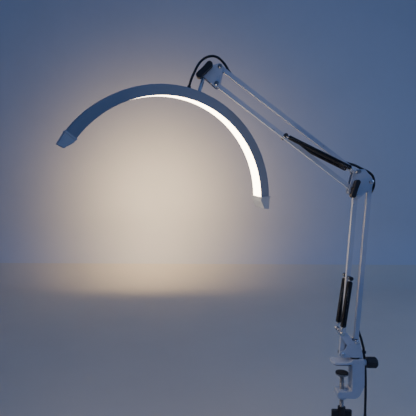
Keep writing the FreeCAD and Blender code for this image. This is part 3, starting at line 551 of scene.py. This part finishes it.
supplyRoute = [
    mm(57.58, 17.3, 16.5),
    mm(60, 17.3, 2),
    mm(61.6, 17.3, -20),
    mm(62.6, 17.0, -50),
    mm(62.8, 16.9, -85),
    mm(62.2, 17.3, -120),
    mm(62, 17.3, -147.4),
]


# one stretch of cable: its tube, fixed in place between two bodies or attached to its one body, with the
# nodes it replaces hidden
def layCable(name, line, share, bodies, nodesHidden):
    part = cutLine(line, *share)
    thing = addTube(name, part, jacket["diameter"] / 2, finish["cableJacket"], jacket["sides"], nearlyAcross)
    if len(bodies) == 2:
        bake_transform(thing)
    else:
        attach(thing, bodies[0])
    if nodesHidden:
        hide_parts(*nodesHidden)


headLine = splineLine(headRoute)
layCable("headCableGland", headLine, (0, 0.36), ("lamp_head", "head_stud"), [])
layCable("headCableLoop", headLine, (0.36, 0.66), ("head_stud", "head_bracket"), [])
layCable("headCableBar", headLine, (0.66, 1), ("head_bracket", "upper_top_bar"), ["cable_head"])
elbowLine = splineLine(elbowRoute)
layCable("elbowCableUpper", elbowLine, (0, 0.52), ("upper_top_bar", "elbow"), [])
layCable("elbowCableLower", elbowLine, (0.52, 1), ("elbow", "lower_rear_bar"), ["cable_elbow"])
layCable("footCable", splineLine(footRoute), (0, 1), ("lower_rear_bar", "base_bracket"), ["cable_foot"])
layCable("supplyCable", splineLine(supplyRoute), (0, 1), ("base_bracket", "clamp"), ["supply_cable"])
print("cables laid")

# stored cable: wound turns in three layers of three, tied, with its plug beside it
coilLow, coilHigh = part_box("cable_coil")
coil = {
    "middle": Vector(((coilLow.x + coilHigh.x) / 2, (coilLow.y + coilHigh.y) / 2, coilLow.z + 0.0380)),
    "radius": 0.0300,  # control ring, a little outside the cable's own
    "layerStep": 0.0060,
    "turnStep": 0.00595,
    "turns": 7.8,
    "pointsPerTurn": 16,
}
# (from turn, to turn, layer, column): where the winding steps across or out
coilSteps = [
    (0.58, 0.83, -1, 0), (1.58, 1.83, -1, 1), (2.33, 2.58, 0, 1), (3.08, 3.33, 0, 0), (4.08, 4.33, 0, -1),
    (4.83, 5.08, 1, -1), (5.58, 5.83, 1, 0), (6.58, 6.83, 1, 1), (7.33, 7.58, 2, 1),
]


def coilPoint(turn):
    layer, column = -1.0, -1.0
    for low, high, nextLayer, nextColumn in coilSteps:
        share = min(max((turn - low) / (high - low), 0.0), 1.0)
        share = share * share * (3 - 2 * share)
        layer += (nextLayer - layer) * share
        column += (nextColumn - column) * share
    radius = coil["radius"] + layer * coil["layerStep"]
    angle = -2 * math.pi * turn
    across = column * coil["turnStep"]
    return coil["middle"] + Vector((radius * math.cos(angle), across, radius * math.sin(angle)))


middle = coil["middle"]
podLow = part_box("dimmer_back")[0].z
plugLow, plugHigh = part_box("usb_plug")
plugAt = Vector(((plugLow.x + plugHigh.x) / 2, middle.y, plugHigh.z))
coilRoute = [
    Vector((middle.x, middle.y, podLow - 0.0002)),
    Vector((middle.x, middle.y - 0.001, podLow - 0.008)),
    Vector((middle.x + 0.002, middle.y - 0.0118, podLow - 0.021)),
    Vector((middle.x + 0.009, middle.y - 0.0130, podLow - 0.035)),
    Vector((middle.x + 0.0175, middle.y - 0.0125, podLow - 0.049)),
]
steps = int(coil["turns"] * coil["pointsPerTurn"])
coilRoute += [coilPoint(n * coil["turns"] / steps) for n in range(steps + 1)]
coilRoute += [
    Vector((middle.x + 0.0255, middle.y + 0.0050, middle.z + 0.0370)),
    Vector((plugAt.x - 0.0035, middle.y + 0.0015, plugAt.z + 0.0165)),
    Vector((plugAt.x, middle.y, plugAt.z + 0.008)),
    Vector((plugAt.x, middle.y, plugAt.z - 0.002)),
]


# plug: moulded grip with ribs, a metal shell and its contact tongue
plug = {
    "half": (0.0044, 0.0079),
    "corner": 0.003,
    "gripLong": 0.037,
    "ribs": 5,
    "ribDepth": 0.0005,
    "ribStep": 0.0026,
    "shellHalf": (0.00225, 0.006),
    "shellWall": 0.0006,
    "tongueHalf": (0.0009, 0.0049),
    "tongueOff": 0.0006,
    "contacts": 4,
    "contactStep": 0.0024,
    "contactWire": 0.0004,
}


def roundedRing(centre, halfX, halfY, corner, perCorner=5):
    corner = min(corner, halfX * 0.98, halfY * 0.98)
    out = []
    for n, (sx, sy) in enumerate(((1, 1), (-1, 1), (-1, -1), (1, -1))):
        for k in range(perCorner):
            a = math.pi / 2 * (n + k / (perCorner - 1))
            out.append(centre + Vector((sx * (halfX - corner) + corner * math.cos(a),
                                        sy * (halfY - corner) + corner * math.sin(a), 0)))
    return out


def addLoft(name, rings, material, smooth=True, capStart=True, capEnd=True):
    points, faces = [], []
    size = len(rings[0])
    for ring in rings:
        points += ring
    for n in range(len(rings) - 1):
        for k in range(size):
            j = (k + 1) % size
            faces.append((n * size + k, n * size + j, (n + 1) * size + j, (n + 1) * size + k))
    if capStart:
        faces.append(tuple(reversed(range(size))))
    if capEnd:
        faces.append(tuple((len(rings) - 1) * size + k for k in range(size)))
    return addMesh(name, points, faces, material, smooth)


def buildPlug():
    top = plugHigh.z
    tipTop = top - plug["gripLong"]
    halfX, halfY = plug["half"]
    ribWaist = 1 - plug["ribDepth"] / halfX
    profile = [(0.0, 0.72), (-0.0008, 0.9), (-0.002, 1.0)]
    for n in range(plug["ribs"]):
        z = -0.006 - n * plug["ribStep"]
        profile += [(z, 1.0), (z - 0.0004, ribWaist), (z - 0.0014, ribWaist), (z - 0.0018, 1.0)]
    profile += [(-0.0345, 1.0), (-0.0362, 0.95), (-plug["gripLong"], 0.8)]
    rings = [roundedRing(Vector((plugAt.x, plugAt.y, top + z)), halfX * share, halfY - halfX * (1 - share),
                         plug["corner"] * share) for z, share in profile]
    grip = addLoft("plugGrip", rings, finish["blackMoulding"])
    shellX, shellY = plug["shellHalf"]
    low = plugLow.z
    outer = [(tipTop + 0.001, 0.0), (low + 0.0003, 0.0), (low, 0.0003)]
    inner = [(low, plug["shellWall"]), (low + 0.010, plug["shellWall"])]
    shellRings = [roundedRing(Vector((plugAt.x, plugAt.y, z)), shellX - inset, shellY - inset, 0.0006)
                  for z, inset in outer + inner]
    shell = addLoft("plugShell", shellRings, finish["brightPlating"], smooth=False, capStart=False)
    tongueAt = plugAt.x + plug["tongueOff"]
    tongueRings = [roundedRing(Vector((tongueAt, plugAt.y, z)), *plug["tongueHalf"], 0.0003)
                   for z in (tipTop, low + 0.0012, low + 0.0008)]
    tongue = addLoft("plugTongue", tongueRings, finish["blackMoulding"], smooth=False)
    contacts = []
    x = plugAt.x - 0.0003
    for n in range(plug["contacts"]):
        y = plugAt.y - plug["contactStep"] * 1.5 + plug["contactStep"] * n
        strip = [Vector((x, y, tipTop - 0.0005)), Vector((x, y, low + 0.0016))]
        contacts.append((strip, plug["contactWire"]))
    pins = addTubes("plugContacts", contacts, finish["plugGold"], 8)
    slots = {grip: "black_plastic", shell: "bright_metal", tongue: "black_plastic", pins: "bright_metal"}
    for thing, slot in slots.items():
        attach(thing, "clamp")
    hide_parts("usb_plug")
    return [grip, shell, tongue, pins]


# tapered sleeves where the cable enters a housing, with cut rings
relief = {"groove": 0.82, "overCable": 0.0002, "sides": 20}


def addRelief(name, z, upward, length, wide, narrow, rings, at):
    foot, direction = Vector((at.x, at.y, z)), Vector((0, 0, upward))
    line, radii = [], []
    marks = rings * 4 + 3
    least = jacket["diameter"] / 2 + relief["overCable"]
    for n in range(marks):
        share = n / (marks - 1)
        line.append(foot + direction * length * share)
        groove = relief["groove"] if n % 4 == 2 and 2 < n < marks - 3 else 1.0
        radii.append(max((wide + (narrow - wide) * share) * groove, least))
    thing = addTube(name, line, radii, finish["blackMoulding"], relief["sides"], nearlyAcross)
    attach(thing, "clamp")
    return thing


plugPieces = buildPlug()
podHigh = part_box("dimmer_back")[1].z
reliefs = [
    addRelief("dimmerReliefTop", podHigh - 0.0005, 1, 0.016, 0.0046, 0.0031, 5, middle),
    addRelief("dimmerReliefLow", podLow + 0.0005, -1, 0.009, 0.0046, 0.0034, 3, middle),
    addRelief("plugRelief", plugHigh.z - 0.0008, 1, 0.009, 0.0041, 0.0032, 3, plugAt),
]

# tie: a flat wire strap round the coil and the plug, twisted shut
tie = {"thick": 0.0006, "high": 0.0038, "corner": 0.0045, "inset": 0.0004, "strand": 0.0008, "twistSteps": 19}


def buildTie():
    low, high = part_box("coil_tie")
    centre = (low + high) / 2
    halfX, halfY = (high.x - low.x) / 2 - tie["inset"], (high.y - low.y) / 2 - tie["inset"]
    loop = roundedRing(Vector((centre.x, centre.y, 0)), halfX, halfY, tie["corner"], 8)
    points, faces = [], []
    size = len(loop)
    for n, spot in enumerate(loop):
        ahead = (loop[(n + 1) % size] - loop[n - 1]).normalized()
        outward = Vector((ahead.y, -ahead.x, 0))
        waver = 0.0003 * math.sin(n * 1.7)
        for push, lift in ((-0.5, -0.5), (0.5, -0.42), (0.75, 0.0), (0.5, 0.42), (-0.5, 0.5), (-0.5, 0.0)):
            points.append(Vector((spot.x, spot.y, centre.z + waver)) + outward * push * tie["thick"]
                          + Vector((0, 0, lift * tie["high"])))
    for n in range(size):
        m = (n + 1) % size
        for k in range(6):
            j = (k + 1) % 6
            faces.append((n * 6 + k, n * 6 + j, m * 6 + j, m * 6 + k))
    strap = addMesh("coilTie", points, faces, finish["blackMoulding"])
    ends = []
    foot = Vector((centre.x, low.y + 0.0006, centre.z))
    for side in (-1, 1):
        line = []
        splay = 0.0022 if side > 0 else 0.0018  # how far the loose end stands off
        for n in range(tie["twistSteps"]):
            a = n * 0.75 + (0 if side > 0 else math.pi)
            spread = 0.0009 + splay * max(0, n - 12) / 6
            across, upright = math.cos(a) * spread, math.sin(a) * spread
            line.append(foot + Vector((across, -0.0002 * n, -0.0004 * n + upright)))
        ends.append((line, tie["strand"]))
    twist = addTubes("coilTieTwist", ends, finish["blackMoulding"], 8)
    for thing in (strap, twist):
        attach(thing, "clamp")
    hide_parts("coil_tie")
    return [strap, twist]


tiePieces = buildTie()
layCable("coiledCable", splineLine(coilRoute, 6), (0, 1), ("clamp",), ["cable_coil"])
print("coil and plug made")

# balance springs: close-wound black wire with bright hooks round the pins
spring = {
    "wire": 0.00066,
    "pitch": 0.00148,
    "lowerOuter": 0.0069,
    "upperOuter": 0.0055,
    "sides": 6,
    "perTurn": 16,
    "endTurn": 0.45,  # radius share of the last turn, which closes in on the hook
    "closeTurns": 1.6,
    "hook": 0.0046,
    "hookWire": 0.0009,
    "eye": 0.0031,
    "eyeRise": 0.0026,
    "pinFree": 0.004,
    "usualTurn": -32.0,  # degrees of arm turn at which the springs stay straightest
    "cuts": (0.0, 0.08, 0.2, 0.38, 0.62, 1.0),  # shares of the coil where its stretches meet
}


# share of the bar's turn that keeps this place on the straight line between the two pins
def straightShare(pivot, a, b, share):
    turn = math.radians(spring["usualTurn"])
    spin = Matrix.Rotation(turn, 3, "Y")
    first, last = a - pivot, b - pivot
    here = first.lerp(last, share)
    last = spin @ last
    first.y = last.y = here.y = 0
    target = first.lerp(last, share)
    places = [first.lerp(last, share + (n - 100) / 400) for n in range(201)]
    spot = min(places, key=lambda p: abs(p.length - here.length) + 0.02 * (p - target).length)
    moved = math.atan2(spot.x, spot.z) - math.atan2(here.x, here.z)
    return min(max(moved / turn, 0.0), 1.0)


# bake one stretch's transform into its mesh
def bendStretch(thing):
    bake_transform(thing)


# one spring in the plane y, from pin to pin; the hooks' reaches are in millimetres
def addSpring(name, pivot, start, stop, y, startHook, stopHook, node, outer):
    a = mm(start[0], y, start[1])
    b = mm(stop[0], y, stop[1])
    pivot = mm(pivot[0], y, pivot[1])
    along = (b - a).normalized()
    across = Vector((0, 1, 0))
    side = across.cross(along).normalized()
    length = (b - a).length
    low, high = startHook * 0.001, length - stopHook * 0.001
    radius = outer - spring["wire"]
    turns = (high - low) / spring["pitch"]
    count = int(turns * spring["perTurn"])
    line = []
    for n in range(count + 1):
        share = n / count
        angle = 2 * math.pi * turns * share
        fromEnd = min(share, 1 - share) * turns / spring["closeTurns"]
        drawn = radius * min(1.0, spring["endTurn"] + (1 - spring["endTurn"]) * min(fromEnd, 1.0))
        spoke = side * math.cos(angle) + across * math.sin(angle)
        line.append(a + along * (low + (high - low) * share) + spoke * drawn)
    marks = [low + (high - low) * cut for cut in spring["cuts"]]
    weights = [straightShare(pivot, a, b, mark / length) for mark in marks[:-1]] + [0.999]
    for n in range(len(marks) - 1):
        first, last = (int(count * spring["cuts"][n + k]) for k in (0, 1))
        part = line[first:last + 1]
        stretch = addTube(name + "Coil" + str(n + 1), part, spring["wire"], finish["springWire"],
                          spring["sides"], along)
        bendStretch(stretch)
        if n == 0:
            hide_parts(node)
    for label, foot, toward, reach in (("Foot", a, along, low), ("Top", b, -along, length - high)):
        loop = circlePoints(foot, toward, side, spring["hook"], 18, 352, 26)
        shank = reach - spring["hook"] + 0.002
        stem = [foot + toward * (spring["hook"] + shank * s) for s in (0.12, 0.35, 0.6, 0.8, 1.0)]
        eye = circlePoints(foot + toward * (reach - 0.0012), side, across, spring["eye"], 0, 660, 34)
        eye = [p + toward * spring["eyeRise"] * (n / 34 - 0.5) for n, p in enumerate(eye)]
        wires = [(list(reversed(loop)) + stem, spring["hookWire"]), (eye, spring["hookWire"])]
        hook = addTubes(name + label + "Hook", wires, finish["brightPlating"], 10)
        if label == "Foot":
            bendStretch(hook)
        else:
            bendStretch(hook)


springFoot = (arm["frontFoot"][0] - 4.0, arm["frontFoot"][1] + 53.0)
lowerPin = flat(alongBar(arm["frontFoot"], arm["lowerLean"], arm["springReach"][0]))
upperPin = flat(alongBar(elbowLow, topLean, arm["springReach"][1]))
for side, y in (("Near", -arm["springY"]), ("Far", arm["springY"])):
    addSpring("lowerSpring" + side, arm["frontFoot"], springFoot, lowerPin, y, 15, 7,
              "lower_spring_" + side.lower(), spring["lowerOuter"])
    addSpring("upperSpring" + side, elbowLow, elbowHigh, upperPin, y, 18, 7,
              "upper_spring_" + side.lower(), spring["upperOuter"])
print("springs wound")

# floor and backdrop in one sweep, well behind the lamp
studio = {
    "floorColor": (0.66, 0.62, 0.54),
    "wallColor": (0.60, 0.62, 0.66),
    "half": 16.0,
    "near": -14.0,
    "wallAt": 2.6,
    "wallHigh": 9.0,
    "bend": 0.5,
    "bendSteps": 12,
    "floorFaces": 7,  # the wall's colour starts halfway up the bend
}
stageLook = dict(
    finishes["shellPaintedShade"], dustAmount=0.5, patch=2.2, rough=0.8, spread=0.1, chip=0.0,
    grain=260, bump=0.08, depth=0.0006,
)


def makeStageFinish(name, color):
    return makeFinish(name, dict(stageLook, base=color, dust=tuple(c * 0.93 for c in color)))


def buildSweep():
    ground, bend, wallAt = packedLow.z - 0.002, studio["bend"], studio["wallAt"]
    profile = [(studio["near"], ground), (wallAt - bend, ground)]
    for n in range(1, studio["bendSteps"] + 1):
        a = math.pi / 2 * n / studio["bendSteps"]
        profile.append((wallAt - bend * (1 - math.sin(a)), ground + bend * (1 - math.cos(a))))
    profile.append((wallAt, ground + studio["wallHigh"]))
    points, faces = [], []
    for y, z in profile:
        points += [Vector((-studio["half"], y, z)), Vector((studio["half"], y, z))]
    for n in range(len(profile) - 1):
        faces.append((2 * n, 2 * n + 1, 2 * n + 3, 2 * n + 2))
    sweep = addMesh("studioSweep", points, faces, makeStageFinish("paleFloor", studio["floorColor"]))
    sweep.data.materials.append(makeStageFinish("paleWall", studio["wallColor"]))
    for n, face in enumerate(sweep.data.polygons):
        face.material_index = 1 if n >= studio["floorFaces"] else 0


buildSweep()

# soft studio light, a little cool, low enough for the lamp's own glow to show
lights = {
    "key": {"place": (1.6, -2.4, 2.4), "aim": (-0.2, 0, 0.35), "size": 2.4, "power": 19,
            "color": (0.30, 0.50, 1.0)},
    "side": {"place": (2.4, 0.6, 1.3), "aim": (-0.1, 0, 0.3), "size": 1.6, "power": 12,
             "color": (0.30, 0.50, 1.0)},
    "glow": {"place": (-0.42, -0.10, 0.30), "aim": (0.0, 0, 0.42), "size": 0.22, "power": 0.9,
             "color": (1.0, 0.84, 0.64)},
}
# a warm pool on the backdrop behind the arc, with no edge
pool = {"place": (-0.85, 1.82, 0.42), "aim": (-0.85, 2.6, 0.42), "spread": 168, "soft": 0.15, "power": 58,
        "color": (1.0, 0.70, 0.36)}
room = {"color": (0.26, 0.42, 0.95), "strength": 0.27}


def hangLight(name, kind, look):
    data = bpy.data.lights.new(name + "Light", kind)
    data.energy = look["power"]
    data.color = look["color"]
    lamp = bpy.data.objects.new(name + "Light", data)
    lamp.location = look["place"]
    lamp.visible_camera = False
    facing = Vector(look["aim"]) - Vector(look["place"])
    lamp.rotation_euler = facing.to_track_quat("-Z", "Y").to_euler()
    bpy.context.scene.collection.objects.link(lamp)
    return data


for name, look in lights.items():
    panel = hangLight(name, "AREA", look)
    panel.shape = "SQUARE"
    panel.size = look["size"]
poolData = hangLight("pool", "SPOT", pool)
poolData.spot_size = math.radians(pool["spread"])
poolData.spot_blend = 1.0
poolData.shadow_soft_size = pool["soft"]
world = bpy.data.worlds.new("softRoom")
bpy.context.scene.world = world
world.use_nodes = True
background = world.node_tree.nodes["Background"]
background.inputs["Color"].default_value = (*room["color"], 1)
background.inputs["Strength"].default_value = room["strength"]
print("studio set")
